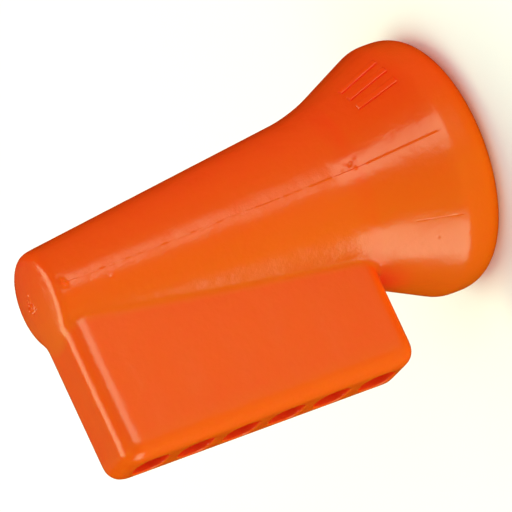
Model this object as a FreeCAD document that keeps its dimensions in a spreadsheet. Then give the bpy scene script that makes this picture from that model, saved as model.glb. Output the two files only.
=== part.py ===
"""Twist-on wire connector: a winged insulating shell with a conical gripping spring inside.

Frame: origin at the centre of the wire entry, on the plane of the lip. +Z runs up the axis to the closed
tip, the wing reaches out towards -X, and its thickness is along Y. All sizes are in millimetres.
"""

import FreeCAD, Part
import math
import os

import Sketcher
from FreeCAD import Placement, Rotation, Vector

SIZES = {
    # outside of the body, from the closed tip down to the lip
    "body_length": 27.0,
    "tip_radius": 2.95,
    "tip_rise": 0.3,
    "tip_land": 1.0,
    "tip_crown": 10.0,
    "tip_round": 0.6,
    "body_taper": 0.12,
    "flare_height": 7.76,
    "flare_round": 10.0,
    "skirt_radius": 7.57,
    "band_height": 2.69,
    "crease_round": 1.2,
    "lip_round": 1.6,
    # the wing
    "wing_reach": 11.05,
    "wing_length": 19.5,
    "wing_thickness": 4.8,
    "wing_tip_round": 1.2,
    "wing_foot_round": 1.0,
    "wing_edge_round": 1.05,
    "valley_round": 0.35,
    # the pockets that core the wing out
    "pocket_count": 6,
    "pocket_pitch": 3.03,
    "pocket_length": 2.15,
    "pocket_width": 2.3,
    "pocket_round": 0.85,
    "pocket_floor": 0.35,
    # three raised bars on the flare
    "bar_count": 3,
    "bar_place": -57,
    "bar_spacing": 9,
    "bar_width": 4,
    "bar_low": 3.4,
    "bar_high": 5.9,
    "bar_rise": 0.12,
    "bar_root": 0.3,
    # inside of the shell
    "mouth_radius": 5.6,
    "mouth_depth": 1.5,
    "funnel_radius": 4.3,
    "funnel_height": 6.6,
    "throat_radius": 3.3,
    "throat_bottom": 10.0,
    "throat_top": 11.0,
    "seat_bottom": 11.45,
    "seat_top": 25.4,
    "seat_wall": 1.08,
    "seat_round": 0.8,
    "spline_count": 6,
    "spline_rise": 0.15,
    "spline_root": 0.4,
    "spline_width": 0.6,
    # the spring
    "spring_gap": 0.05,
    "spring_bottom": 10.83,
    "spring_turns": 11,
    "spring_pitch": 1.2,
    "wire_side": 0.8,
}

doc = FreeCAD.newDocument("wire_connector")
sheet = doc.addObject("Spreadsheet::Sheet", "size")
for row, (alias, value) in enumerate(SIZES.items(), start=1):
    sheet.set(f"A{row}", alias)
    sheet.set(f"B{row}", str(value))
    sheet.setAlias(f"B{row}", alias)
doc.recompute()


def size(alias):
    """The value of one named cell of the sheet."""
    return getattr(sheet, alias)


def new_body(name):
    """A PartDesign body whose name and label are the node's name."""
    body = doc.addObject("PartDesign::Body", name)
    body.Label = name
    return body


def new_feature(body, kind, name, bindings):
    """A feature of the body, with each property in bindings tied to an expression of the sheet."""
    feature = body.newObject(kind, name)
    for prop, expression in bindings.items():
        feature.setExpression(prop, expression)
    return feature


def new_sketch(body, name, role):
    """An empty sketch on one of the body's own origin planes."""
    sketch = body.newObject("Sketcher::SketchObject", name)
    plane = next(item for item in body.Origin.OriginFeatures if item.Role == role)
    sketch.AttachmentSupport = [(plane, "")]
    sketch.MapMode = "FlatFace"
    return sketch


def rounded_ends(before, corner, after, radius):
    """Where an arc of the radius leaves the two sides of a corner, and the arc's middle point."""
    inward = (before - corner).normalize()
    outward = (after - corner).normalize()
    half_angle = inward.getAngle(outward) / 2
    reach = radius / math.tan(half_angle)
    middle = (inward + outward).normalize() * (radius / math.sin(half_angle) - radius)
    return corner + inward * reach, corner + middle, corner + outward * reach


def draw_outline(sketch, corners):
    """Draw a closed outline of straight sides whose corners may be rounded.

    Each corner is a pair of expressions, along the plane's first and second axis, and a rounded corner has
    a third one for its radius. The corner point stays in the sketch as construction geometry, so the sizes
    are always measured to sharp corners.
    """
    points = [Vector(*[float(sketch.evalExpression(text)) for text in corner[:2]], 0) for corner in corners]
    radii = [float(sketch.evalExpression(corner[2])) if len(corner) > 2 else 0 for corner in corners]
    count = len(corners)
    starts, ends, arcs = [], [], {}
    for index, corner in enumerate(points):
        if radii[index]:
            first, middle, last = rounded_ends(
                points[index - 1], corner, points[(index + 1) % count], radii[index]
            )
            arcs[index] = Part.Arc(first, middle, last)
            starts.append(last)
            ends.append(first)
        else:
            starts.append(corner)
            ends.append(corner)

    sides = []
    for index in range(count):
        side = Part.LineSegment(starts[index], ends[(index + 1) % count])
        sides.append(sketch.addGeometry(side, False))

    for index, corner in enumerate(corners):
        before = sides[index - 1]
        after = sides[index]
        if index in arcs:
            bind_round(sketch, before, after, arcs[index], points[index], corner)
        else:
            sketch.addConstraint(Sketcher.Constraint("Coincident", before, 2, after, 1))
            bind_point(sketch, after, points[index], corner)


def bind_point(sketch, geometry, point, corner):
    """Tie the first point of a geometry to the corner's two expressions."""
    for kind, value, text in zip(("DistanceX", "DistanceY"), point, corner):
        place = sketch.addConstraint(Sketcher.Constraint(kind, -1, 1, geometry, 1, value))
        sketch.setExpression(f"Constraints[{place}]", text)


def bind_round(sketch, before, after, arc, point, corner):
    """Join two sides by a tangent arc, with the sharp corner kept as a construction point."""
    curve = sketch.addGeometry(arc, False)
    sharp = sketch.addGeometry(Part.Point(point), True)
    bind_point(sketch, sharp, point, corner)
    sketch.addConstraint(Sketcher.Constraint("PointOnObject", sharp, 1, before))
    sketch.addConstraint(Sketcher.Constraint("PointOnObject", sharp, 1, after))
    for side, side_end in ((before, 2), (after, 1)):
        curve_end = nearest_end(sketch, curve, sketch.getPoint(side, side_end))
        sketch.addConstraint(Sketcher.Constraint("Tangent", side, side_end, curve, curve_end))
    place = sketch.addConstraint(Sketcher.Constraint("Radius", curve, sketch.Geometry[curve].Radius))
    sketch.setExpression(f"Constraints[{place}]", corner[2])


def nearest_end(sketch, curve, point):
    """Which end of a curve, 1 or 2, lies at the point."""
    return min((1, 2), key=lambda end: sketch.getPoint(curve, end).distanceToPoint(point))


def body_radius(height):
    """Expression of the tapered body's outer radius at a height."""
    return f"(size.tip_radius + size.body_taper * (size.body_length - {height}))"


def seat_radius(height):
    """Expression of the spring seat's radius at a height."""
    return f"({body_radius(height)} - size.seat_wall)"


def flank_radius(height):
    """Expression of the flare's straight flank at a height."""
    drop = f"(size.skirt_radius - {body_radius('size.flare_height')})"
    share = f"({height} - size.band_height) / (size.flare_height - size.band_height)"
    return f"(size.skirt_radius - {drop} * {share})"


def turn(body, kind, name, sketch, angle="360"):
    """Revolve or groove a sketch about the body's axis."""
    feature = new_feature(body, kind, name, {"Angle": angle})
    feature.Profile = sketch
    feature.ReferenceAxis = (sketch, ["V_Axis"])
    return feature


def repeat_round(body, name, feature, sketch, count, angle):
    """Repeat a feature about the body's axis, over an angle that holds all the copies."""
    ring = new_feature(body, "PartDesign::PolarPattern", name, {"Occurrences": count, "Angle": angle})
    ring.Originals = [feature]
    ring.Axis = (sketch, ["V_Axis"])
    body.Tip = ring


def add_wing(body):
    """The flat wing: a rounded slab from the axis out to -X, its outer face rounded all round."""
    section = new_sketch(body, "wing_section", "YZ_Plane")
    side = "size.wing_thickness / 2"
    foot = "size.body_length - size.wing_length"
    draw_outline(section, [
        (f"-{side}", foot, "size.wing_foot_round"),
        (side, foot, "size.wing_foot_round"),
        (side, "size.body_length", "size.wing_tip_round"),
        (f"-{side}", "size.body_length", "size.wing_tip_round"),
    ])
    slab = new_feature(body, "PartDesign::Pad", "wing_slab", {"Length": "size.wing_reach"})
    slab.Profile = section
    slab.Reversed = True
    doc.recompute()
    outer_edges = [
        f"Edge{index}" for index, edge in enumerate(slab.Shape.Edges, start=1)
        if abs(edge.BoundBox.XMax + size("wing_reach")) < 1e-4
    ]
    rounding = new_feature(body, "PartDesign::Fillet", "wing_edges", {"Radius": "size.wing_edge_round"})
    rounding.Base = (slab, outer_edges)


def add_outside(body):
    """The tapered body, its flare, the skirt band and the rolled lip, turned in one outline."""
    outline = new_sketch(body, "outside_outline", "XZ_Plane")
    draw_outline(outline, [
        ("0", "0"),
        ("size.skirt_radius", "0", "size.lip_round"),
        ("size.skirt_radius", "size.band_height", "size.crease_round"),
        (body_radius("size.flare_height"), "size.flare_height", "size.flare_round"),
        ("size.tip_radius", "size.body_length", "size.tip_round"),
        ("size.tip_land", "size.body_length + size.tip_rise", "size.tip_crown"),
        ("0", "size.body_length + size.tip_rise"),
    ])
    turn(body, "PartDesign::Revolution", "outside", outline)


def add_valleys(body):
    """Round the two valleys where the wing's flat faces run into the tapered body."""
    doc.recompute()
    base = body.Tip
    half = size("wing_thickness") / 2
    valleys = []
    for index, edge in enumerate(base.Shape.Edges, start=1):
        box = edge.BoundBox
        on_side = abs(abs(box.YMin) - half) < 1e-4 and abs(abs(box.YMax) - half) < 1e-4
        if on_side and edge.Curve.TypeId != "Part::GeomLine":
            valleys.append(f"Edge{index}")
    rounding = new_feature(body, "PartDesign::Fillet", "valleys", {"Radius": "size.valley_round"})
    rounding.Base = (base, valleys)


def add_inside(body):
    """Hollow the shell: mouth, funnel, retaining throat and the tapered seat of the spring."""
    outline = new_sketch(body, "inside_outline", "XZ_Plane")
    draw_outline(outline, [
        ("0", "-size.mouth_depth"),
        ("size.mouth_radius", "-size.mouth_depth"),
        ("size.mouth_radius", "size.mouth_depth"),
        ("size.funnel_radius", "size.funnel_height"),
        ("size.throat_radius", "size.throat_bottom"),
        ("size.throat_radius", "size.throat_top"),
        (seat_radius("size.seat_bottom"), "size.seat_bottom"),
        (seat_radius("size.seat_top"), "size.seat_top", "size.seat_round"),
        ("0", "size.seat_top"),
    ])
    turn(body, "PartDesign::Groove", "inside", outline)


def add_splines(body):
    """Splines along the seat: the spring bears on their crests."""
    outline = new_sketch(body, "spline_outline", "XZ_Plane")
    corners = []
    for height, offset in (
        ("size.throat_top", "- size.spline_rise"),
        ("size.throat_top", "+ size.spline_root"),
        ("size.seat_top", "+ size.spline_root"),
        ("size.seat_top", "- size.spline_rise"),
    ):
        corners.append((f"{seat_radius(height)} {offset}", height))
    draw_outline(outline, corners)
    spline = new_feature(body, "PartDesign::Pad", "spline", {"Length": "size.spline_width"})
    spline.Profile = outline
    spline.Midplane = True
    repeat_round(body, "splines", spline, outline, "size.spline_count", "360")


def add_bars(body):
    """Raised bars on the flare, each a thin strip that follows the flank."""
    outline = new_sketch(body, "bar_outline", "XZ_Plane")
    outline.AttachmentOffset = Placement(Vector(), Rotation(Vector(0, 1, 0), size("bar_place")))
    outline.setExpression("AttachmentOffset.Rotation.Angle", "size.bar_place")
    doc.recompute()
    corners = []
    for height, offset in (
        ("size.bar_low", "- size.bar_root"),
        ("size.bar_low", "+ size.bar_rise"),
        ("size.bar_high", "+ size.bar_rise"),
        ("size.bar_high", "- size.bar_root"),
    ):
        corners.append((f"{flank_radius(height)} {offset}", height))
    draw_outline(outline, corners)
    bar = turn(body, "PartDesign::Revolution", "bar", outline, "size.bar_width")
    bar.Midplane = True
    spread = "(size.bar_count - 1) * size.bar_spacing"
    repeat_round(body, "bars", bar, outline, "size.bar_count", spread)


def add_pockets(body):
    """Core the wing out from its outer face, each pocket's floor following the taper of the body."""
    for number in range(int(size("pocket_count"))):
        step = f"({number} - (size.pocket_count - 1) / 2) * size.pocket_pitch"
        middle = f"(size.body_length - size.wing_length / 2 + {step})"
        section = new_sketch(body, f"pocket_section_{number + 1}", "YZ_Plane")
        floor = f"-({body_radius(middle)} + size.pocket_floor)"
        section.setExpression("AttachmentOffset.Base.z", floor)
        doc.recompute()
        side = "size.pocket_width / 2"
        end = "size.pocket_length / 2"
        draw_outline(section, [
            (f"-{side}", f"{middle} - {end}", "size.pocket_round"),
            (side, f"{middle} - {end}", "size.pocket_round"),
            (side, f"{middle} + {end}", "size.pocket_round"),
            (f"-{side}", f"{middle} + {end}", "size.pocket_round"),
        ])
        pocket = new_feature(body, "PartDesign::Pocket", f"pocket_{number + 1}", {})
        pocket.Profile = section
        pocket.Type = "ThroughAll"


def make_shell():
    body = new_body("insulating_shell")
    add_wing(body)
    add_outside(body)
    add_valleys(body)
    add_bars(body)
    add_inside(body)
    add_splines(body)
    add_pockets(body)
    return body


def make_spring():
    """A conical coil of square wire, one corner of the wire facing the conductors."""
    body = new_body("coil_spring")
    section = new_sketch(body, "wire_section", "XZ_Plane")
    corner_reach = "size.wire_side / sqrt(2)"
    height = f"(size.spring_bottom + {corner_reach})"
    outer = f"({seat_radius(height)} - size.spline_rise - size.spring_gap)"
    draw_outline(section, [
        (outer, height),
        (f"{outer} - {corner_reach}", f"{height} + {corner_reach}"),
        (f"{outer} - 2 * {corner_reach}", height),
        (f"{outer} - {corner_reach}", f"{height} - {corner_reach}"),
    ])
    coil = new_feature(body, "PartDesign::AdditiveHelix", "coil", {
        "Pitch": "size.spring_pitch",
        "Turns": "size.spring_turns",
        "Angle": "-atan(size.body_taper)",
    })
    coil.Profile = section
    coil.ReferenceAxis = (section, ["V_Axis"])
    coil.Mode = "pitch-turns-angle"
    return body


def check_document(parts):
    """Stop if a feature failed or a part isn't one valid closed solid."""
    for item in doc.Objects:
        if any(word in state for state in item.State for word in ("Invalid", "Error")):
            raise RuntimeError(f"{item.Name}: {item.State}")
    for body in parts:
        shape = body.Shape
        if shape.isNull() or not shape.isValid() or len(shape.Solids) != 1:
            raise RuntimeError(f"{body.Label} isn't one valid solid")


parts = [make_shell(), make_spring()]
doc.recompute()
check_document(parts)
os.makedirs("parts", exist_ok=True)
for body in parts:
    body.Shape.exportStep(os.path.join("parts", f"{body.Label}.step"))
    box = body.Shape.BoundBox
    print(f"{body.Label}: {body.Shape.Volume:.1f} mm3, x {box.XMin:.2f} {box.XMax:.2f},"
          f" y {box.YMin:.2f} {box.YMax:.2f}, z {box.ZMin:.2f} {box.ZMax:.2f}")
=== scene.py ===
"""Twist-on wire connector: a winged orange shell with a conical square-wire spring inside.

Every piece is modelled in millimetres, in the row's own frame, and brought to metres when it is finished.
The wire entry is at the origin, the closed tip points up +Z and the wing reaches out towards -X.
"""

import logging
import math
from collections.abc import Callable, Iterable
from dataclasses import dataclass, field
from enum import Enum

import bpy
import numpy as np
from mathutils import Matrix, Vector


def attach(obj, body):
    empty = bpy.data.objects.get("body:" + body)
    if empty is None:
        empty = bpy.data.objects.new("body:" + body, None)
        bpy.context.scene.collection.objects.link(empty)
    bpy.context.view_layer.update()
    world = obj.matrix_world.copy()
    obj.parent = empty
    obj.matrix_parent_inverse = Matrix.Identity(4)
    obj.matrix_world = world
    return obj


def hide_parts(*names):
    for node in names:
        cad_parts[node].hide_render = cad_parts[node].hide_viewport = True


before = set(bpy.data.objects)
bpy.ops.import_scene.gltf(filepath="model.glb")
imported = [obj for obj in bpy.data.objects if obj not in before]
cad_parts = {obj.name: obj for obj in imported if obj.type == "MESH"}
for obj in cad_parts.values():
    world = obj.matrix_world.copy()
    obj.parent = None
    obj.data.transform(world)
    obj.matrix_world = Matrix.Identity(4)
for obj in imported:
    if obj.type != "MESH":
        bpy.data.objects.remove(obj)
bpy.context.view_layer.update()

log = logging.getLogger("wire_connector")
MM = 0.001
NEAR = 1e-3
SMOOTH_ANGLE = math.radians(35)


class Solver(Enum):
    """How a Boolean modifier works out its cut."""

    EXACT = "EXACT"
    MANIFOLD = "MANIFOLD"


# --------------------------------------------------------------------------- hand tools


def clear_selection() -> None:
    """Leave edit mode and select nothing."""
    if bpy.context.object and bpy.context.object.mode != "OBJECT":
        bpy.ops.object.mode_set(mode="OBJECT")
    bpy.ops.object.select_all(action="DESELECT")


def take_up(piece: bpy.types.Object) -> None:
    """Make one object the only selected and the active one.

    Args:
        piece: The object to work on.
    """
    clear_selection()
    piece.select_set(True)
    bpy.context.view_layer.objects.active = piece


def open_mesh(piece: bpy.types.Object, kind: str) -> None:
    """Go into edit mode on a piece with nothing selected.

    Args:
        piece: The object to edit.
        kind: VERT, EDGE or FACE, what is to be selected.
    """
    take_up(piece)
    bpy.ops.object.mode_set(mode="EDIT")
    bpy.ops.mesh.select_mode(type=kind)
    bpy.ops.mesh.select_all(action="DESELECT")


def close_mesh() -> None:
    """Go back to object mode."""
    bpy.ops.object.mode_set(mode="OBJECT")


def pick_edges(piece: bpy.types.Object, test: Callable[[Vector, Vector], bool]) -> None:
    """Select the edges that pass a test of their two ends, and nothing else, in edit mode.

    Args:
        piece: The object to edit.
        test: Says whether an edge between those places is wanted.
    """
    open_mesh(piece, "EDGE")
    close_mesh()
    places = [vertex.co.copy() for vertex in piece.data.vertices]
    for edge in piece.data.edges:
        edge.select = test(places[edge.vertices[0]], places[edge.vertices[1]])
    bpy.ops.object.mode_set(mode="EDIT")


def pick_faces(piece: bpy.types.Object, test: Callable[[bpy.types.MeshPolygon], bool]) -> None:
    """Select the faces that pass a test, and nothing else, in edit mode.

    Args:
        piece: The object to edit.
        test: Says whether a face is wanted.
    """
    open_mesh(piece, "FACE")
    close_mesh()
    for face in piece.data.polygons:
        face.select = test(face)
    bpy.ops.object.mode_set(mode="EDIT")


def bevel_edges(offset: float, steps: int) -> None:
    """Round the selected edges.

    Args:
        offset: How far the rounding reaches on each side.
        steps: Faces across it.
    """
    bpy.ops.mesh.bevel(offset=offset, offset_type="OFFSET", segments=steps, profile=0.5, affect="EDGES")


def finish_modifier(piece: bpy.types.Object, kind: str, **settings: object) -> None:
    """Add one modifier with its settings and apply it.

    Args:
        piece: The object that gets it.
        kind: The modifier's type.
        settings: Its properties by name.
    """
    take_up(piece)
    modifier = piece.modifiers.new(kind.title(), kind)
    for name, value in settings.items():
        setattr(modifier, name, value)
    bpy.ops.object.modifier_apply(modifier=modifier.name)


def combine(
    piece: bpy.types.Object, tool: bpy.types.Object, how: str, solver: Solver = Solver.MANIFOLD
) -> None:
    """Join a tool's solid to a piece, or cut it out, and throw the tool away.

    Args:
        piece: The solid that stays.
        tool: The solid that is joined or cut out.
        how: UNION or DIFFERENCE.
        solver: The Boolean solver.
    """
    finish_modifier(piece, "BOOLEAN", object=tool, operation=how, solver=solver.value)
    bpy.data.objects.remove(tool, do_unlink=True)


def turned_solid(
    name: str, stations: Iterable[tuple[float, float, float]], segments: int, steps: int = 10
) -> bpy.types.Object:
    """Turn a closed solid about Z: a disc drawn up ring by ring, each corner rounded by a bevel.

    Args:
        name: The new object's name.
        stations: Height, radius and corner radius of each ring, from the lowest up.
        segments: Sides of the circle.
        steps: Faces across each rounded corner.

    Returns:
        The new object.
    """
    rings = list(stations)
    clear_selection()
    low_height, low_radius, _ = rings[0]
    bpy.ops.mesh.primitive_circle_add(
        vertices=segments, radius=low_radius, fill_type="NGON", location=(0, 0, low_height)
    )
    solid = bpy.context.object
    solid.name = name
    bpy.ops.object.transform_apply(location=True, rotation=False, scale=False)
    bpy.ops.object.mode_set(mode="EDIT")
    bpy.ops.mesh.select_all(action="SELECT")
    for (height, radius, _), (next_height, next_radius, _) in zip(rings, rings[1:]):
        bpy.ops.mesh.extrude_region_move(TRANSFORM_OT_translate={"value": (0, 0, next_height - height)})
        ratio = next_radius / radius
        bpy.ops.transform.resize(value=(ratio, ratio, 1), center_override=(0, 0, next_height))
    bpy.ops.mesh.select_all(action="SELECT")
    bpy.ops.mesh.normals_make_consistent(inside=False)
    for index, (height, radius, corner) in enumerate(rings):
        if corner:
            offset = corner * math.tan(turn_angle(rings, index) / 2)
            pick_edges(
                solid,
                lambda a, b: all(
                    abs(end.z - height) < NEAR and abs(math.hypot(end.x, end.y) - radius) < 10 * NEAR
                    for end in (a, b)
                ),
            )
            bevel_edges(offset, steps)
    close_mesh()
    return solid


def turn_angle(rings: list[tuple[float, float, float]], index: int) -> float:
    """How far a turned outline bends at one of its rings.

    Args:
        rings: Height, radius and corner radius of each ring.
        index: Which ring.

    Returns:
        The bend in radians.
    """
    here = Vector((rings[index][1], rings[index][0]))
    before = Vector((0, here.y)) if index == 0 else Vector((rings[index - 1][1], rings[index - 1][0]))
    last = index == len(rings) - 1
    after = Vector((0, here.y)) if last else Vector((rings[index + 1][1], rings[index + 1][0]))
    return (here - before).angle(after - here)


def block(name: str, low: Vector, high: Vector) -> bpy.types.Object:
    """A box between two corners.

    Args:
        name: The new object's name.
        low: Its lowest corner.
        high: Its highest corner.

    Returns:
        The new object.
    """
    clear_selection()
    bpy.ops.mesh.primitive_cube_add(size=1, location=(low + high) / 2, scale=high - low)
    solid = bpy.context.object
    solid.name = name
    bpy.ops.object.transform_apply(location=True, rotation=False, scale=True)
    return solid


def to_metres(piece: bpy.types.Object) -> None:
    """Bring a piece modelled in millimetres to metres, its object left at the origin.

    Args:
        piece: The finished piece.
    """
    take_up(piece)
    bpy.ops.transform.resize(value=(MM, MM, MM), center_override=(0, 0, 0))
    bpy.ops.object.transform_apply(location=True, rotation=True, scale=True)


def move_points(piece: bpy.types.Object, rule: Callable[[np.ndarray], np.ndarray]) -> None:
    """Shift every vertex of a piece by a rule of its place.

    Args:
        piece: The object in object mode.
        rule: Takes the places as rows of x, y, z and gives them back moved.
    """
    places = np.empty(len(piece.data.vertices) * 3)
    piece.data.vertices.foreach_get("co", places)
    piece.data.vertices.foreach_set("co", rule(places.reshape(-1, 3)).ravel())
    piece.data.update()


def swell_points(piece: bpy.types.Object, height: Callable[[np.ndarray], np.ndarray]) -> None:
    """Move every vertex of a piece along its normal by a rule of its place.

    Args:
        piece: The object in object mode.
        height: Takes the places as rows of x, y, z and gives how far each moves outward.
    """
    normals = np.empty(len(piece.data.vertices) * 3)
    piece.data.vertices.foreach_get("normal", normals)
    move_points(piece, lambda places: places + normals.reshape(-1, 3) * height(places)[:, None])


# --------------------------------------------------------------------------- finishes


def new_material(name: str) -> tuple[bpy.types.Material, bpy.types.NodeTree, bpy.types.Node]:
    """A material with nodes and only its shader and output.

    Args:
        name: The material's name.

    Returns:
        The material, its node tree and its shader.
    """
    material = bpy.data.materials.new(name)
    material.use_nodes = True
    tree = material.node_tree
    return material, tree, tree.nodes["Principled BSDF"]


def add_node(tree: bpy.types.NodeTree, kind: str, **inputs: object) -> bpy.types.Node:
    """Add a node and set its inputs.

    Args:
        tree: The node tree.
        kind: The node's type.
        inputs: Values of its sockets, named with underscores for spaces.

    Returns:
        The node.
    """
    node = tree.nodes.new(kind)
    for name, value in inputs.items():
        node.inputs[name.replace("_", " ")].default_value = value
    return node


def map_value(
    tree: bpy.types.NodeTree,
    value: bpy.types.NodeSocket,
    span: tuple[float, float],
    result: tuple[float, float],
    smooth: bool = False,
) -> bpy.types.NodeSocket:
    """Map a value from one span to another.

    Args:
        tree: The node tree.
        value: The value's socket.
        span: Where the value starts and ends.
        result: What it becomes at those two ends.
        smooth: Whether it eases in and out.

    Returns:
        The mapped value's socket.
    """
    node = add_node(
        tree, "ShaderNodeMapRange", From_Min=span[0], From_Max=span[1], To_Min=result[0], To_Max=result[1]
    )
    if smooth:
        node.interpolation_type = "SMOOTHSTEP"
    tree.links.new(value, node.inputs["Value"])
    return node.outputs["Result"]


def reckon(
    tree: bpy.types.NodeTree, operation: str, *values: bpy.types.NodeSocket | float
) -> bpy.types.Node:
    """Add a Math node.

    Args:
        tree: The node tree.
        operation: What it does.
        values: Its inputs in order, sockets or numbers.

    Returns:
        The node.
    """
    node = tree.nodes.new("ShaderNodeMath")
    node.operation = operation
    for socket, value in zip(node.inputs, values):
        if isinstance(value, bpy.types.NodeSocket):
            tree.links.new(value, socket)
        else:
            socket.default_value = value
    return node


def noise(
    tree: bpy.types.NodeTree, place: bpy.types.NodeSocket, scale: float, detail: float, rough: float
) -> bpy.types.NodeSocket:
    """Add a noise pattern.

    Args:
        tree: The node tree.
        place: Socket of the place it is read at.
        scale: Its scale, per metre.
        detail: How many finer layers it has.
        rough: How strong those are.

    Returns:
        The pattern's value socket.
    """
    node = add_node(tree, "ShaderNodeTexNoise", Scale=scale, Detail=detail, Roughness=rough)
    tree.links.new(place, node.inputs["Vector"])
    return node.outputs["Fac"]


def blend(
    tree: bpy.types.NodeTree,
    share: bpy.types.NodeSocket,
    under: bpy.types.NodeSocket | tuple[float, float, float],
    over: tuple[float, float, float],
) -> bpy.types.NodeSocket:
    """Mix two colours.

    Args:
        tree: The node tree.
        share: Socket of the second colour's share.
        under: The first colour, or its socket.
        over: The second colour.

    Returns:
        The mixed colour's socket.
    """
    node = tree.nodes.new("ShaderNodeMix")
    node.data_type = "RGBA"
    tree.links.new(share, node.inputs["Factor"])
    if isinstance(under, bpy.types.NodeSocket):
        tree.links.new(under, node.inputs["A"])
    else:
        node.inputs["A"].default_value = (*under, 1)
    node.inputs["B"].default_value = (*over, 1)
    return node.outputs["Result"]


def in_metres(span: tuple[float, float]) -> tuple[float, float]:
    """A span given in millimetres, in metres."""
    return span[0] * MM, span[1] * MM


@dataclass(frozen=True)
class MouldedPlastic:
    """Glossy orange plastic that lets a little light into its skin.

    It turns from the deep colour on the +X side to the warm one on the -X side: painted shade on the side
    that lies away from the lamps and painted light on the side they light. Recesses turn deep red, painted
    shade from ambient occlusion. The shares below say how much warmer or deeper the flow streaks, the
    wing's outer edge, the rim and the wing's faces are. Spans ending in _mm are in millimetres.
    """

    # The deep colour is painted shade on the +X side, the warm colour painted light on the -X side.
    deep_and_shaded: tuple[float, float, float] = (0.755, 0.049, 0.001)
    warm_and_lit: tuple[float, float, float] = (0.705, 0.107, 0.001)
    # Deep red painted shade for sheltered recesses.
    recess_shade: tuple[float, float, float] = (0.9, 0.012, 0.006)
    shading_x_mm: tuple[float, float] = (5.2, -4.5)
    edge_x_mm: tuple[float, float] = (-9.2, -10.4)
    edge_share: float = 0.25
    rim_z_mm: tuple[float, float] = (3.6, 2.2)
    rim_share: float = 0.2
    wing_radius_mm: tuple[float, float] = (6.22, 6.6)
    wing_foot_z_mm: tuple[float, float] = (7.2, 7.8)
    wing_share: float = -0.5
    body_taper: float = 0.12
    streak_scale: float = 260.0
    streak_stretch: tuple[float, float, float] = (1.0, 1.0, 0.3)
    streak_share: float = 0.14
    recess_reach_mm: float = 3.0
    recess_open: tuple[float, float] = (0.86, 0.25)
    recess_samples: int = 8
    grain_scale: float = 2800.0
    grain_height_mm: float = 0.03
    ripple_scale: float = 420.0
    ripple_height_mm: float = 0.13
    bump_strength: float = 0.6
    roughness: tuple[float, float] = (0.15, 0.27)
    gloss: float = 0.45
    refraction: float = 1.49
    skin_share: float = 0.5
    skin_reach: tuple[float, float, float] = (1.0, 0.25, 0.06)
    skin_depth_mm: float = 0.5

    def make(self) -> bpy.types.Material:
        """Build the material.

        Returns:
            The material, its patterns on object coordinates in metres.
        """
        material, tree, shader = new_material("moulded_orange_plastic")
        place = tree.nodes.new("ShaderNodeTexCoord").outputs["Object"]
        tint = blend(tree, self.lit_warm_share(tree, place), self.deep_and_shaded, self.warm_and_lit)
        # Painted shade: where ambient occlusion finds the surface sheltered, in the pockets, at the wing's
        # root and round the bars, the colour turns deep red.
        shelter = add_node(tree, "ShaderNodeAmbientOcclusion", Distance=self.recess_reach_mm * MM)
        shelter.only_local = True
        shelter.samples = self.recess_samples
        depth = map_value(tree, shelter.outputs["AO"], self.recess_open, (0.0, 1.0))
        tree.links.new(blend(tree, depth, tint, self.recess_shade), shader.inputs["Base Color"])
        self.roughen(tree, place, shader)
        shader.inputs["Specular IOR Level"].default_value = self.gloss
        shader.inputs["IOR"].default_value = self.refraction
        shader.inputs["Subsurface Weight"].default_value = self.skin_share
        shader.inputs["Subsurface Radius"].default_value = self.skin_reach
        shader.inputs["Subsurface Scale"].default_value = self.skin_depth_mm * MM
        return material

    def lit_warm_share(self, tree: bpy.types.NodeTree, place: bpy.types.NodeSocket) -> bpy.types.NodeSocket:
        """How much of the warm colour there is at each place; its part across the piece is painted light
        and shade.

        Args:
            tree: The node tree.
            place: Socket of the place.

        Returns:
            Socket of the share, from 0 to 1.
        """
        axes = tree.nodes.new("ShaderNodeSeparateXYZ")
        tree.links.new(place, axes.inputs["Vector"])
        across, height = axes.outputs["X"], axes.outputs["Z"]
        stretch = add_node(tree, "ShaderNodeMapping", Scale=self.streak_stretch)
        tree.links.new(place, stretch.inputs["Vector"])
        flow = noise(tree, stretch.outputs["Vector"], self.streak_scale, 3.0, 0.5)

        # Painted shading: warmer and lighter towards -X, where the lamps light the piece, deeper towards
        # +X, in shade.
        share = map_value(tree, across, in_metres(self.shading_x_mm), (0.0, 1.0), smooth=True)
        for extra in (
            map_value(tree, flow, (0.0, 1.0), (-self.streak_share, self.streak_share)),
            map_value(tree, across, in_metres(self.edge_x_mm), (0.0, self.edge_share)),
            map_value(tree, height, in_metres(self.rim_z_mm), (0.0, self.rim_share), smooth=True),
            self.on_wing(tree, place, height),
        ):
            total = reckon(tree, "ADD", share, extra)
            share = total.outputs["Value"]
        total.use_clamp = True
        return share

    def on_wing(
        self, tree: bpy.types.NodeTree, place: bpy.types.NodeSocket, height: bpy.types.NodeSocket
    ) -> bpy.types.NodeSocket:
        """The wing's own share: what stands outside the tapered body, above the wing's foot.

        Args:
            tree: The node tree.
            place: Socket of the place.
            height: Socket of its height.

        Returns:
            Socket of the share, nothing off the wing.
        """
        level = tree.nodes.new("ShaderNodeVectorMath")
        level.operation = "MULTIPLY"
        level.inputs[1].default_value = (1.0, 1.0, 0.0)
        tree.links.new(place, level.inputs[0])
        radius = tree.nodes.new("ShaderNodeVectorMath")
        radius.operation = "LENGTH"
        tree.links.new(level.outputs["Vector"], radius.inputs[0])
        upright = reckon(tree, "MULTIPLY_ADD", height, self.body_taper, radius.outputs["Value"])
        proud = map_value(
            tree, upright.outputs["Value"], in_metres(self.wing_radius_mm), (0.0, self.wing_share)
        )
        above = map_value(tree, height, in_metres(self.wing_foot_z_mm), (0.0, 1.0))
        return reckon(tree, "MULTIPLY", proud, above).outputs["Value"]

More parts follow.
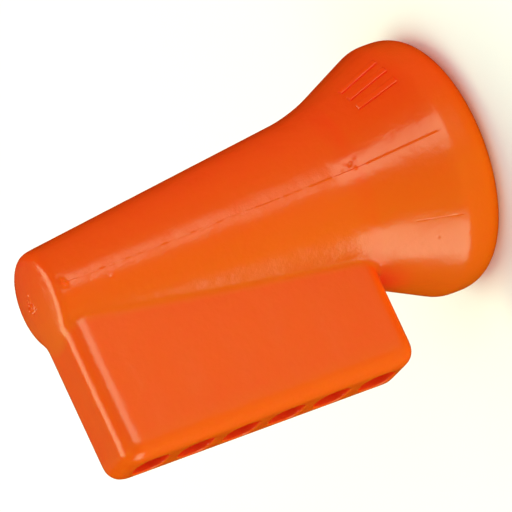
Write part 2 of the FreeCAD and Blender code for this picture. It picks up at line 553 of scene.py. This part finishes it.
    def roughen(
        self, tree: bpy.types.NodeTree, place: bpy.types.NodeSocket, shader: bpy.types.Node
    ) -> None:
        """Give the gloss its fine grain and its slow ripple.

        Args:
            tree: The node tree.
            place: Socket of the place.
            shader: The shader to set.
        """
        grain = noise(tree, place, self.grain_scale, 4.0, 0.6)
        tree.links.new(map_value(tree, grain, (0.0, 1.0), self.roughness), shader.inputs["Roughness"])
        wave = noise(tree, place, self.ripple_scale, 2.0, 0.5)
        normal = None
        for pattern, rise in ((grain, self.grain_height_mm), (wave, self.ripple_height_mm)):
            bump = add_node(tree, "ShaderNodeBump", Strength=self.bump_strength, Distance=rise * MM)
            tree.links.new(pattern, bump.inputs["Height"])
            if normal:
                tree.links.new(normal, bump.inputs["Normal"])
            normal = bump.outputs["Normal"]
        tree.links.new(normal, shader.inputs["Normal"])


@dataclass(frozen=True)
class ZincedSteel:
    """Bright zinc plating over drawn square wire."""

    base: tuple[float, float, float] = (0.55, 0.56, 0.58)
    roughness: tuple[float, float] = (0.22, 0.44)
    spangle_scale: float = 2500.0

    def make(self) -> bpy.types.Material:
        """Build the material.

        Returns:
            The material, its patterns on object coordinates in metres.
        """
        material, tree, shader = new_material("zinced_spring_steel")
        place = tree.nodes.new("ShaderNodeTexCoord").outputs["Object"]
        spangle = noise(tree, place, self.spangle_scale, 4.0, 0.6)
        tree.links.new(map_value(tree, spangle, (0.0, 1.0), self.roughness), shader.inputs["Roughness"])
        shader.inputs["Base Color"].default_value = (*self.base, 1)
        shader.inputs["Metallic"].default_value = 1.0
        return material


# --------------------------------------------------------------------------- the shell


@dataclass(frozen=True)
class Blemish:
    """A small bump or dent that the mould leaves: where it is, how wide, and how far it stands out."""

    place: tuple[float, float, float]
    spread: float
    rise: float

    def height(self, places: np.ndarray) -> np.ndarray:
        """How far the skin is pushed out at each place.

        Args:
            places: Rows of x, y, z.

        Returns:
            The height at each row.
        """
        apart = np.linalg.norm(places - np.array(self.place), axis=1)
        return self.rise * np.exp(-((apart / self.spread) ** 2))


@dataclass(frozen=True)
class RoughPatch:
    """A patch of small broken bumps, such as the scar where the gate was snapped off.

    The bumps, some of them dents, are strewn over the plane that faces along one axis, given by its number.
    """

    place: tuple[float, float, float]
    axis: int
    radius: float
    count: int
    rise: float
    bump_spread: tuple[float, float] = (0.06, 0.12)
    bump_share: tuple[float, float] = (-0.6, 1.0)

    def height(self, places: np.ndarray) -> np.ndarray:
        """How far the skin is pushed out at each place.

        Args:
            places: Rows of x, y, z.

        Returns:
            The height at each row.
        """
        rng = np.random.default_rng(self.count)
        total = np.zeros(len(places))
        for _ in range(self.count):
            offset = rng.normal(0, self.radius / 2, 3)
            offset[self.axis] = 0
            bump = Blemish(tuple(np.array(self.place) + offset), rng.uniform(*self.bump_spread), self.rise)
            total += bump.height(places) * rng.uniform(*self.bump_share)
        return total


@dataclass
class InsulatingShell:
    """The moulded cap: tapered body, flare, rolled lip, wing, and the hollow for wires and spring.

    All sizes are in millimetres.
    """

    plastic: MouldedPlastic = field(default_factory=MouldedPlastic)
    body_length: float = 27.0
    tip_radius: float = 2.95
    tip_rise: float = 0.3
    tip_land: float = 1.0
    tip_crown: float = 10.0
    tip_round: float = 0.6
    body_taper: float = 0.12
    flare_height: float = 7.76
    flare_round: float = 10.0
    skirt_radius: float = 7.57
    band_height: float = 2.69
    crease_round: float = 1.2
    lip_round: float = 1.6
    wing_reach: float = 11.05
    wing_length: float = 19.5
    wing_thickness: float = 4.8
    wing_tip_round: float = 1.2
    wing_foot_round: float = 1.0
    wing_edge_round: float = 1.05
    wing_end_steps: int = 12
    wing_edge_steps: int = 10
    pocket_count: int = 6
    pocket_pitch: float = 3.03
    pocket_length: float = 2.15
    pocket_width: float = 2.3
    pocket_round: float = 0.85
    pocket_floor: float = 0.35
    pocket_floor_round: float = 0.4
    pocket_mouth_round: float = 0.12
    pocket_steps: int = 8
    pocket_floor_steps: int = 5
    pocket_mouth_steps: int = 6
    bar_places: tuple[float, ...] = (-57.0, -48.0, -39.0)
    bar_width: float = 4.0
    bar_low: float = 3.4
    bar_high: float = 5.9
    bar_rise: float = 0.12
    bar_root: float = 0.3
    bar_round: float = 0.1
    bar_steps: int = 3
    mouth_radius: float = 5.6
    mouth_depth: float = 1.5
    mouth_round: float = 0.6
    funnel_radius: float = 4.3
    funnel_height: float = 6.6
    funnel_round: float = 2.0
    throat_radius: float = 3.3
    throat_bottom: float = 10.0
    throat_bottom_round: float = 1.0
    throat_top: float = 11.0
    throat_top_round: float = 0.15
    seat_bottom: float = 11.45
    seat_top: float = 25.4
    seat_wall: float = 1.08
    seat_round: float = 0.8
    hollow_segments: int = 128
    hollow_steps: int = 6
    spline_count: int = 6
    spline_rise: float = 0.15
    spline_width: float = 0.6
    spline_depth: float = 2.0
    spline_overrun: float = 0.5
    flash_angle: float = 90.0
    flash_rise: float = 0.055
    flash_half_width: float = 0.075
    flash_low: float = 2.85
    flash_high: float = 26.7
    flash_share: tuple[float, float] = (0.4, 1.0)
    flash_waves: tuple[float, float] = (5.3, 2.1)
    flash_fade_height: float = 5.5
    flash_fade_length: float = 9.0
    flash_fade_share: tuple[float, float, float] = (0.5, 1.0, 1.3)
    witness_angle: float = -129.6
    witness_half_width: float = 0.04
    witness_low: float = 2.9
    witness_high: float = 5.4
    witness_depth: float = 0.02
    sink_depth: float = 0.03
    sink_spread: float = 0.75
    sink_face_margin: float = 0.1
    sink_inner_x: float = -4.0
    sink_inner_ease: float = 2.0
    sink_edge_gap: float = 0.8
    sink_edge_ease: float = 1.5
    skin_grain: float = 0.145
    skin_passes: int = 14
    mark_reach: float = 0.65
    mark_cuts: int = 2
    mark_passes: int = 4
    segments: int = 192
    rough_patches: tuple[RoughPatch, ...] = (
        RoughPatch((0.0, 0.35, 27.3), 2, 0.4, 44, 0.11),
        RoughPatch((0.02, -3.02, 26.45), 1, 0.22, 10, 0.05),
        RoughPatch((0.25, -5.4, 8.0), 1, 0.4, 12, 0.05),
    )
    blemishes: tuple[Blemish, ...] = (
        Blemish((0.03, -3.0, 26.5), 0.2, 0.1),
        Blemish((-0.12, -3.05, 26.3), 0.12, 0.05),
        Blemish((0.3, -5.4, 8.0), 0.13, -0.05),
        Blemish((0.12, -5.3, 8.45), 0.11, -0.045),
        Blemish((0.45, -5.5, 7.6), 0.12, 0.025),
        Blemish((0.0, -4.75, 13.2), 0.16, 0.02),
        Blemish((-0.68, -3.3, 23.6), 0.13, 0.03),
        Blemish((-5.25, -4.35, 4.34), 0.11, -0.03),
        Blemish((0.0, 0.35, 27.3), 0.5, -0.05),
    )

    def body_radius(self, height: float) -> float:
        """Outer radius of the tapered body at a height."""
        return self.tip_radius + self.body_taper * (self.body_length - height)

    def seat_radius(self, height: float) -> float:
        """Radius of the spring's seat at a height."""
        return self.body_radius(height) - self.seat_wall

    def turn_outside(self) -> bpy.types.Object:
        """Turn the body, flare, band and lip as one solid."""
        return turned_solid(
            "insulating_shell_skin",
            [
                (0, self.skirt_radius, self.lip_round),
                (self.band_height, self.skirt_radius, self.crease_round),
                (self.flare_height, self.body_radius(self.flare_height), self.flare_round),
                (self.body_length, self.tip_radius, self.tip_round),
                (self.body_length + self.tip_rise, self.tip_land, self.tip_crown),
            ],
            self.segments,
        )

    def shape_wing(self) -> bpy.types.Object:
        """Shape the wing: a slab with rounded ends and a rounded outer edge."""
        half = self.wing_thickness / 2
        foot = self.body_length - self.wing_length
        wing = block("wing", Vector((-self.wing_reach, -half, foot)), Vector((0, half, self.body_length)))
        for end, corner in ((self.body_length, self.wing_tip_round), (foot, self.wing_foot_round)):
            pick_edges(
                wing,
                lambda a, b: abs(a.z - end) < NEAR and abs(b.z - end) < NEAR and abs(a.y - b.y) < NEAR,
            )
            bevel_edges(corner, self.wing_end_steps)
        pick_edges(wing, lambda a, b: max(a.x, b.x) < -self.wing_reach + NEAR)
        bevel_edges(self.wing_edge_round, self.wing_edge_steps)
        close_mesh()
        return wing

    def build(self) -> bpy.types.Object:
        """Model the whole shell.

        Returns:
            The shell, in metres, in the row's frame.
        """
        shell = self.turn_outside()
        combine(shell, self.shape_wing(), "UNION", Solver.EXACT)
        finish_modifier(shell, "REMESH", mode="VOXEL", voxel_size=self.skin_grain, adaptivity=0.0)
        finish_modifier(shell, "SMOOTH", factor=0.5, iterations=self.skin_passes)
        self.refine(shell)
        self.score(shell, self.flash_angle, self.flash_half_width)
        self.score(shell, self.witness_angle, self.witness_half_width)
        swell_points(shell, self.skin_height)
        for place in self.bar_places:
            combine(shell, self.raised_bar(place), "UNION")
        combine(shell, self.hollow(), "DIFFERENCE")
        for middle in self.pocket_middles():
            combine(shell, self.pocket(middle), "DIFFERENCE")
        finish_modifier(shell, "TRIANGULATE", min_vertices=5)
        take_up(shell)
        bpy.ops.object.shade_smooth_by_angle(angle=SMOOTH_ANGLE)
        to_metres(shell)
        shell.data.materials.clear()
        shell.data.materials.append(self.plastic.make())
        log.info("shell: %d faces", len(shell.data.polygons))
        return shell

    def score(self, shell: bpy.types.Object, angle: float, half_width: float) -> None:
        """Cut three close lines into the skin along a plane through the axis, for a ridge or a groove.

        Args:
            shell: The skin.
            angle: The plane's angle about the axis, in degrees.
            half_width: Distance of the outer lines from the middle one.
        """
        across = Vector((-math.sin(math.radians(angle)), math.cos(math.radians(angle)), 0))
        for offset in (-half_width, 0.0, half_width):
            open_mesh(shell, "FACE")
            bpy.ops.mesh.select_all(action="SELECT")
            bpy.ops.mesh.bisect(plane_co=across * offset, plane_no=across)
            close_mesh()

    def refine(self, shell: bpy.types.Object) -> None:
        """Divide the skin more finely round the small marks, so that they keep their shapes."""
        spots = [Vector(mark.place) for mark in (*self.blemishes, *self.rough_patches)]
        pick_faces(
            shell, lambda face: any((face.center - spot).length < self.mark_reach for spot in spots)
        )
        bpy.ops.mesh.subdivide(number_cuts=self.mark_cuts)
        bpy.ops.mesh.vertices_smooth(factor=0.5, repeat=self.mark_passes)
        close_mesh()

    def skin_height(self, places: np.ndarray) -> np.ndarray:
        """How far the skin stands off its true shape, through all the marks of the mould.

        Args:
            places: Rows of x, y, z.

        Returns:
            The height at each row.
        """
        rise = self.flash(places) - self.witness(places) - self.sinks(places)
        for mark in (*self.blemishes, *self.rough_patches):
            rise += mark.height(places)
        return rise

    def on_line(self, places: np.ndarray, angle: float, low: float, high: float) -> np.ndarray:
        """Which places lie on a line that was scored, between two heights.

        Args:
            places: Rows of x, y, z.
            angle: The line's angle about the axis, in degrees.
            low: Where it starts.
            high: Where it ends.

        Returns:
            True or false for each row.
        """
        across, side, height = places.T
        turn = math.radians(angle)
        off_line = np.abs(across * math.sin(turn) - side * math.cos(turn))
        return (off_line < NEAR / 10) & (height > low) & (height < high)

    def flash(self, places: np.ndarray) -> np.ndarray:
        """Height of the ragged flash at the mould's parting line, fading towards the tip."""
        height = places[:, 2]
        (least, most), (fine, slow) = self.flash_share, self.flash_waves
        ragged = (least + most) / 2 + (most - least) / 2 * np.sin(fine * height) * np.sin(slow * height + 1)
        faint, full, peak = self.flash_fade_share
        away = np.abs(height - self.flash_fade_height) / self.flash_fade_length
        fade = np.clip(peak - away, faint, full)
        there = self.on_line(places, self.flash_angle, self.flash_low, self.flash_high)
        return np.where(there, self.flash_rise * ragged * fade, 0.0)

    def witness(self, places: np.ndarray) -> np.ndarray:
        """Depth of the faint line on the near side of the flare."""
        there = self.on_line(places, self.witness_angle, self.witness_low, self.witness_high)
        return np.where(there & (places[:, 1] < 0), self.witness_depth, 0.0)

    def sinks(self, places: np.ndarray) -> np.ndarray:
        """Depth of the shallow sinks on the wing's faces, one over each pocket."""
        across, side, height = places.T
        on_face = np.abs(side) > self.wing_thickness / 2 - self.sink_face_margin
        on_wing = on_face & (across < self.sink_inner_x)
        outer = np.clip((across + self.wing_reach - self.sink_edge_gap) / self.sink_edge_ease, 0, 1)
        inner = np.clip((self.sink_inner_x - across) / self.sink_inner_ease, 0, 1)
        waves = sum(
            np.exp(-(((height - middle) / self.sink_spread) ** 2)) for middle in self.pocket_middles()
        )
        return on_wing * outer * inner * self.sink_depth * waves

    def raised_bar(self, place: float) -> bpy.types.Object:
        """One raised bar on the flare, bent to the flank.

        Args:
            place: Its angle about the axis, in degrees.

        Returns:
            The bar's solid.
        """
        drop = self.skirt_radius - self.body_radius(self.flare_height)
        slope = drop / (self.flare_height - self.band_height)
        reach = self.skirt_radius - slope * ((self.bar_low + self.bar_high) / 2 - self.band_height)
        half = math.radians(self.bar_width) / 2 * reach
        low = Vector((-self.bar_root, -half, self.bar_low))
        bar = block("raised_bar", low, Vector((self.bar_rise, half, self.bar_high)))
        pick_edges(bar, lambda a, b: min(a.x, b.x) > self.bar_rise - NEAR)
        bevel_edges(self.bar_round, self.bar_steps)
        close_mesh()

        def bend(places: np.ndarray) -> np.ndarray:
            angle = places[:, 1] / reach + math.radians(place)
            radius = self.skirt_radius - slope * (places[:, 2] - self.band_height) + places[:, 0]
            return np.stack((radius * np.cos(angle), radius * np.sin(angle), places[:, 2]), axis=1)

        move_points(bar, bend)
        return bar

    def pocket_middles(self) -> list[float]:
        """Heights of the middles of the wing's pockets."""
        middle = self.body_length - self.wing_length / 2
        return [
            middle + (number - (self.pocket_count - 1) / 2) * self.pocket_pitch
            for number in range(self.pocket_count)
        ]

    def hollow(self) -> bpy.types.Object:
        """The space inside: mouth, funnel, throat and splined seat."""
        space = turned_solid(
            "hollow",
            [
                (-self.mouth_depth, self.mouth_radius, 0),
                (self.mouth_depth, self.mouth_radius, self.mouth_round),
                (self.funnel_height, self.funnel_radius, self.funnel_round),
                (self.throat_bottom, self.throat_radius, self.throat_bottom_round),
                (self.throat_top, self.throat_radius, self.throat_top_round),
                (self.seat_bottom, self.seat_radius(self.seat_bottom), 0),
                (self.seat_top, self.seat_radius(self.seat_top), self.seat_round),
            ],
            self.hollow_segments,
            self.hollow_steps,
        )
        for number in range(self.spline_count):
            combine(space, self.spline(number), "DIFFERENCE")
        return space

    def spline(self, number: int) -> bpy.types.Object:
        """One spline of the seat, as the bar that is kept out of the hollow."""
        half = self.spline_width / 2
        inner = self.seat_radius(self.throat_top) - self.spline_rise
        bar = block(
            "spline",
            Vector((inner, -half, self.throat_top)),
            Vector((inner + self.spline_depth, half, self.seat_top + self.spline_overrun)),
        )

        def lean(places: np.ndarray) -> np.ndarray:
            drift = (places[:, 2] - self.throat_top) * self.body_taper
            return places - np.outer(drift, (1, 0, 0))

        move_points(bar, lean)
        take_up(bar)
        bpy.ops.transform.rotate(
            value=-math.tau * number / self.spline_count, orient_axis="Z", center_override=(0, 0, 0)
        )
        bpy.ops.object.transform_apply(location=True, rotation=True, scale=True)
        return bar

    def pocket(self, middle: float) -> bpy.types.Object:
        """One of the pockets that core out the wing, its floor following the body.

        Args:
            middle: Height of its middle.

        Returns:
            The solid to cut out.
        """
        floor = self.body_radius(middle) + self.pocket_floor
        half = Vector((0, self.pocket_width / 2, self.pocket_length / 2))
        low = Vector((-self.wing_reach, 0, middle)) - half
        high = Vector((-floor, 0, middle)) + half
        hole = block("pocket", low, high)
        pick_edges(hole, lambda a, b: abs(a.x - b.x) > 1)
        bevel_edges(self.pocket_round, self.pocket_steps)
        pick_edges(hole, lambda a, b: min(a.x, b.x) > -floor - NEAR)
        bevel_edges(self.pocket_floor_round, self.pocket_floor_steps)
        pick_faces(hole, lambda face: face.normal.x < -0.9 and face.center.x < -self.wing_reach + NEAR)
        mouth = self.pocket_mouth_round
        for step in range(self.pocket_mouth_steps):
            start, end = (math.pi / 2 * (step + k) / self.pocket_mouth_steps for k in (0, 1))
            forward = mouth * (math.sin(end) - math.sin(start))
            spread = mouth * (math.cos(start) - math.cos(end))
            bpy.ops.mesh.extrude_region_move(TRANSFORM_OT_translate={"value": (-forward, 0, 0)})
            grow_y = 1 + spread / (self.pocket_width / 2)
            grow_z = 1 + spread / (self.pocket_length / 2)
            bpy.ops.transform.resize(value=(1, grow_y, grow_z), center_override=(0, 0, middle))
        close_mesh()
        move_points(
            hole, lambda places: places + (mouth, 0, 0) * (places[:, :1] < -self.wing_reach + 10 * NEAR)
        )
        return hole


# --------------------------------------------------------------------------- the spring


@dataclass
class CoilSpring:
    """The conical coil of square wire that grips the conductors, one corner of the wire facing inward.

    All sizes are in millimetres.
    """

    steel: ZincedSteel = field(default_factory=ZincedSteel)
    wire_side: float = 0.8
    wire_corner: float = 0.07
    bottom: float = 10.83
    outer_radius: float = 3.5425
    turns: int = 11
    pitch: float = 1.2
    taper: float = 0.12
    steps_per_turn: int = 60
    corner_steps: int = 3

    def build(self) -> bpy.types.Object:
        """Model the spring.

        Returns:
            The spring, in metres, in the row's frame.
        """
        reach = self.wire_side / math.sqrt(2)
        height = self.bottom + reach
        clear_selection()
        bpy.ops.mesh.primitive_plane_add(size=self.wire_side, rotation=(math.pi / 2, 0, 0))
        spring = bpy.context.object
        spring.name = "wound_spring"
        bpy.ops.transform.rotate(value=math.pi / 4, orient_axis="Y", center_override=(0, 0, 0))
        bpy.ops.object.transform_apply(location=True, rotation=True, scale=True)
        open_mesh(spring, "VERT")
        bpy.ops.mesh.select_all(action="SELECT")
        bpy.ops.mesh.bevel(
            offset=self.wire_corner, offset_type="OFFSET", segments=self.corner_steps, affect="VERTICES"
        )
        bpy.ops.mesh.delete(type="ONLY_FACE")
        close_mesh()
        move_points(spring, lambda places: places + (self.outer_radius - reach, 0, height))
        finish_modifier(
            spring,
            "SCREW",
            axis="Z",
            angle=math.tau,
            screw_offset=self.pitch,
            iterations=self.turns,
            steps=self.steps_per_turn,
            render_steps=self.steps_per_turn,
        )
        open_mesh(spring, "EDGE")
        bpy.ops.mesh.select_non_manifold()
        bpy.ops.mesh.fill_holes(sides=0)
        bpy.ops.mesh.select_all(action="SELECT")
        bpy.ops.mesh.normals_make_consistent(inside=False)
        close_mesh()

        def narrow(places: np.ndarray) -> np.ndarray:
            radius = np.hypot(places[:, 0], places[:, 1])
            ratio = 1 - self.taper * (places[:, 2] - height) / radius
            return places * np.stack((ratio, ratio, np.ones_like(ratio)), axis=1)

        move_points(spring, narrow)
        take_up(spring)
        bpy.ops.object.shade_smooth_by_angle(angle=SMOOTH_ANGLE)
        to_metres(spring)
        spring.data.materials.append(self.steel.make())
        log.info("spring: %d faces", len(spring.data.polygons))
        return spring


# --------------------------------------------------------------------------- the studio


@dataclass(frozen=True)
class SoftBox:
    """One soft box, placed by angles seen from the connector, in degrees."""

    name: str
    azimuth: float
    elevation: float
    width: float
    height: float
    radiance: float
    tint: tuple[float, float, float] = (1.0, 0.98, 0.84)
    distance: float = 0.4
    in_gloss: bool = True

    def hang(self, aim: Vector) -> None:
        """Hang the box, facing the connector.

        Args:
            aim: Where it points.
        """
        turn, rise = math.radians(self.azimuth), math.radians(self.elevation)
        toward = Vector((math.cos(turn) * math.cos(rise), math.sin(turn) * math.cos(rise), math.sin(rise)))
        data = bpy.data.lights.new(self.name, "AREA")
        data.shape = "RECTANGLE"
        data.size = 2 * self.distance * math.tan(math.radians(self.width) / 2)
        data.size_y = 2 * self.distance * math.tan(math.radians(self.height) / 2)
        data.energy = self.radiance * math.pi * data.size * data.size_y
        data.color = self.tint
        light = bpy.data.objects.new(self.name, data)
        light.visible_glossy = self.in_gloss
        bpy.context.scene.collection.objects.link(light)
        light.location = aim + toward * self.distance
        light.rotation_euler = toward.to_track_quat("Z", "Y").to_euler()


@dataclass
class Studio:
    """Pale floor, soft lights and the camera. Sizes in metres, angles by direction vectors."""

    right: Vector = field(default_factory=lambda: Vector((-0.41580, -0.32219, -0.85048)))
    up: Vector = field(default_factory=lambda: Vector((0.89078, -0.33283, -0.30942)))
    back: Vector = field(default_factory=lambda: Vector((-0.18337, -0.88624, 0.42538)))
    aim: Vector = field(default_factory=lambda: Vector((-1.684, 0.184, 13.158)) * MM)
    distance: float = 1.224
    frame_width: float = 29.311 * MM
    sensor_width: float = 36.0
    floor_size: float = 2.0
    floor_grey: tuple[float, float, float] = (0.94, 0.94, 0.94)
    floor_roughness: float = 0.9
    surround: float = 0.57
    surround_tint: tuple[float, float, float] = (0.92, 0.95, 1.0)
    boxes: tuple[SoftBox, ...] = (
        SoftBox("front_box", -78, 8, 26, 38, 4.1, (0.84, 1.0, 0.68)),
        SoftBox("front_high_box", -78, 46, 26, 24, 0.12),
        SoftBox("front_low_box", -78, -28, 26, 26, 0.3),
        SoftBox("wing_side_box", 182, 6, 42, 32, 4.1, (0.82, 1.0, 0.72)),
        SoftBox("rear_box", 72, 64, 50, 29, 4.3, (0.84, 1.0, 0.62)),
        SoftBox("rear_low_box", 78, 22, 40, 30, 0.1),
        SoftBox("top_fill", -60, 78, 70, 60, 0.42, in_gloss=False),
        SoftBox("low_fill", -115, -58, 60, 44, 1.5, in_gloss=False),
    )

    def place_camera(self) -> None:
        """Set up the long-lens camera, rolled so that the connector lies across the picture."""
        data = bpy.data.cameras.new("camera")
        camera = bpy.data.objects.new("camera", data)
        bpy.context.scene.collection.objects.link(camera)
        data.sensor_width = self.sensor_width
        data.lens = self.sensor_width * self.distance / self.frame_width
        data.clip_start = 0.01
        data.clip_end = 10
        turn = Matrix((self.right, self.up, self.back)).transposed()
        camera.matrix_world = Matrix.Translation(self.aim + self.back * self.distance) @ turn.to_4x4()
        bpy.context.scene.camera = camera

    def lay_floor(self) -> None:
        """Lay the pale floor that the connector stands on."""
        clear_selection()
        bpy.ops.mesh.primitive_plane_add(size=self.floor_size, location=(0, 0, 0))
        floor = bpy.context.object
        floor.name = "floor"
        material, _, shader = new_material("pale_floor")
        shader.inputs["Base Color"].default_value = (*self.floor_grey, 1)
        shader.inputs["Roughness"].default_value = self.floor_roughness
        floor.data.materials.append(material)
        floor.visible_glossy = False
        floor.visible_shadow = False

    def light(self) -> None:
        """Light the set: an even pale surround and the soft boxes."""
        world = bpy.data.worlds.new("surround")
        bpy.context.scene.world = world
        world.use_nodes = True
        background = world.node_tree.nodes["Background"]
        background.inputs["Color"].default_value = (*self.surround_tint, 1)
        background.inputs["Strength"].default_value = self.surround
        world.cycles_visibility.glossy = False
        for box in self.boxes:
            box.hang(self.aim)

    def set_up(self) -> None:
        """Set up everything round the connector."""
        bpy.context.scene.view_settings.view_transform = "Standard"
        self.lay_floor()
        self.light()
        self.place_camera()


def main() -> None:
    """Build the connector and its studio."""
    logging.basicConfig(level=logging.INFO, format="%(name)s: %(message)s")
    shell = InsulatingShell().build()
    shell.name = "moulded_shell"
    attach(shell, "root")
    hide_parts("insulating_shell")
    spring = CoilSpring().build()
    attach(spring, "root")
    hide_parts("coil_spring")
    Studio().set_up()


if __name__ == "__main__":
    main()
